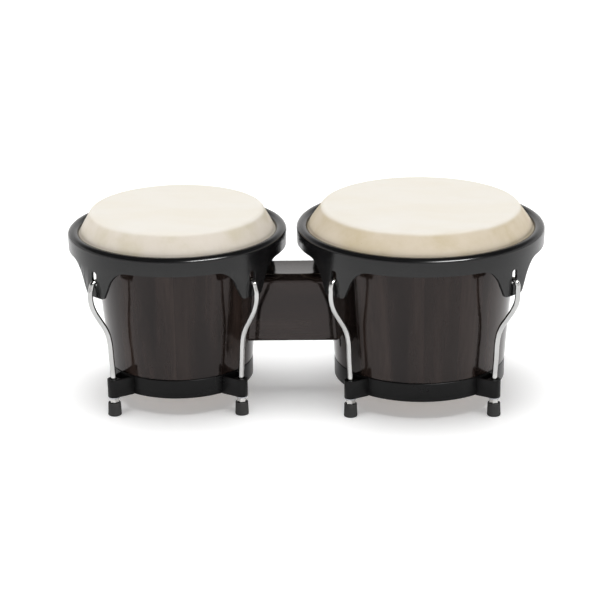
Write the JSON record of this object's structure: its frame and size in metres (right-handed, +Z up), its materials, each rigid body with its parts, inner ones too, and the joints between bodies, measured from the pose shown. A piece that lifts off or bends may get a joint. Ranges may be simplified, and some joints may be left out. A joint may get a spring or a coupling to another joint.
{
  "type": "bongo drums",
  "caption": "Pair of hand drums joined by a block: tapered dark shells, stretched skins, black rims, hooked chrome tuning rods, bottom rings and rubber feet.",
  "frame": {"origin": "on the ground plane under the middle of the whole width and depth", "axes": "+X from the small drum to the large drum, +Y away from the player, +Z up through the skins"},
  "size_m": [0.453, 0.2356, 0.1889],
  "materials": {
    "shell_lacquer": "very dark brown gloss lacquer over wood",
    "block_lacquer": "very dark brown gloss lacquer over wood",
    "rawhide": "cream rawhide, matt, faint mottling",
    "rim_enamel": "gloss black enamel on steel",
    "rod_chrome": "bright chrome plate",
    "nut_chrome": "bright plated hexagon nut",
    "fixing_zinc": "zinc plated steel",
    "hoop_steel": "dull plain steel",
    "rubber": "matt black moulded rubber"
  },
  "bodies": {
    "drums": {"small_shell": "shell_lacquer", "small_skin": "rawhide", "small_flesh_hoop": "hoop_steel", "small_bottom_ring": "rim_enamel", "small_backing_plate": "fixing_zinc", "small_block_bolt_lower": "fixing_zinc", "small_bolt_washer_lower": "fixing_zinc", "small_block_bolt_upper": "fixing_zinc", "small_bolt_washer_upper": "fixing_zinc", "small_washer_front_right": "fixing_zinc", "small_washer_back_right": "fixing_zinc", "small_washer_back_left": "fixing_zinc", "small_washer_front_left": "fixing_zinc", "large_shell": "shell_lacquer", "large_skin": "rawhide", "large_flesh_hoop": "hoop_steel", "large_bottom_ring": "rim_enamel", "large_backing_plate": "fixing_zinc", "large_block_bolt_lower": "fixing_zinc", "large_bolt_washer_lower": "fixing_zinc", "large_block_bolt_upper": "fixing_zinc", "large_bolt_washer_upper": "fixing_zinc", "large_washer_front_right": "fixing_zinc", "large_washer_back_right": "fixing_zinc", "large_washer_back_left": "fixing_zinc", "large_washer_front_left": "fixing_zinc", "centre_block": "block_lacquer"},
    "small_rim_set": {"small_rim": "rim_enamel", "small_rod_front_right": "rod_chrome", "small_rod_back_right": "rod_chrome", "small_rod_back_left": "rod_chrome", "small_rod_front_left": "rod_chrome"},
    "small_tuner_front_right": {"small_nut_front_right": "nut_chrome", "small_foot_front_right": "rubber"},
    "small_tuner_back_right": {"small_nut_back_right": "nut_chrome", "small_foot_back_right": "rubber"},
    "small_tuner_back_left": {"small_nut_back_left": "nut_chrome", "small_foot_back_left": "rubber"},
    "small_tuner_front_left": {"small_nut_front_left": "nut_chrome", "small_foot_front_left": "rubber"},
    "large_rim_set": {"large_rim": "rim_enamel", "large_rod_front_right": "rod_chrome", "large_rod_back_right": "rod_chrome", "large_rod_back_left": "rod_chrome", "large_rod_front_left": "rod_chrome"},
    "large_tuner_front_right": {"large_nut_front_right": "nut_chrome", "large_foot_front_right": "rubber"},
    "large_tuner_back_right": {"large_nut_back_right": "nut_chrome", "large_foot_back_right": "rubber"},
    "large_tuner_back_left": {"large_nut_back_left": "nut_chrome", "large_foot_back_left": "rubber"},
    "large_tuner_front_left": {"large_nut_front_left": "nut_chrome", "large_foot_front_left": "rubber"}
  },
  "joints": [
    {"name": "small_rim_slide", "type": "slide", "parent": "drums", "child": "small_rim_set", "axis": [0, 0, 1], "range_m": [0, 0.005]},
    {"name": "small_nut_turn_front_right", "type": "hinge", "parent": "drums", "child": "small_tuner_front_right", "pos_m": [-0.06204, -0.06046, 0.01375], "axis": [0, 0, -1], "range_deg": [0, 2252]},
    {"name": "small_nut_turn_back_right", "type": "hinge", "parent": "drums", "child": "small_tuner_back_right", "pos_m": [-0.06204, 0.06046, 0.01375], "axis": [0, 0, -1], "range_deg": [0, 2252]},
    {"name": "small_nut_turn_back_left", "type": "hinge", "parent": "drums", "child": "small_tuner_back_left", "pos_m": [-0.18296, 0.06046, 0.01375], "axis": [0, 0, -1], "range_deg": [0, 2252]},
    {"name": "small_nut_turn_front_left", "type": "hinge", "parent": "drums", "child": "small_tuner_front_left", "pos_m": [-0.18296, -0.06046, 0.01375], "axis": [0, 0, -1], "range_deg": [0, 2252]},
    {"name": "large_rim_slide", "type": "slide", "parent": "drums", "child": "large_rim_set", "axis": [0, 0, 1], "range_m": [0, 0.005]},
    {"name": "large_nut_turn_front_right", "type": "hinge", "parent": "drums", "child": "large_tuner_front_right", "pos_m": [0.17637, -0.06767, 0.01375], "axis": [0, 0, -1], "range_deg": [0, 2252]},
    {"name": "large_nut_turn_back_right", "type": "hinge", "parent": "drums", "child": "large_tuner_back_right", "pos_m": [0.17637, 0.06767, 0.01375], "axis": [0, 0, -1], "range_deg": [0, 2252]},
    {"name": "large_nut_turn_back_left", "type": "hinge", "parent": "drums", "child": "large_tuner_back_left", "pos_m": [0.04103, 0.06767, 0.01375], "axis": [0, 0, -1], "range_deg": [0, 2252]},
    {"name": "large_nut_turn_front_left", "type": "hinge", "parent": "drums", "child": "large_tuner_front_left", "pos_m": [0.04103, -0.06767, 0.01375], "axis": [0, 0, -1], "range_deg": [0, 2252]}
  ],
  "couplings": [
    {"joint": "small_nut_turn_front_right", "follows": "small_rim_slide", "rad_per_m": 7854},
    {"joint": "small_nut_turn_back_right", "follows": "small_rim_slide", "rad_per_m": 7854},
    {"joint": "small_nut_turn_back_left", "follows": "small_rim_slide", "rad_per_m": 7854},
    {"joint": "small_nut_turn_front_left", "follows": "small_rim_slide", "rad_per_m": 7854},
    {"joint": "large_nut_turn_front_right", "follows": "large_rim_slide", "rad_per_m": 7854},
    {"joint": "large_nut_turn_back_right", "follows": "large_rim_slide", "rad_per_m": 7854},
    {"joint": "large_nut_turn_back_left", "follows": "large_rim_slide", "rad_per_m": 7854},
    {"joint": "large_nut_turn_front_left", "follows": "large_rim_slide", "rad_per_m": 7854}
  ]
}
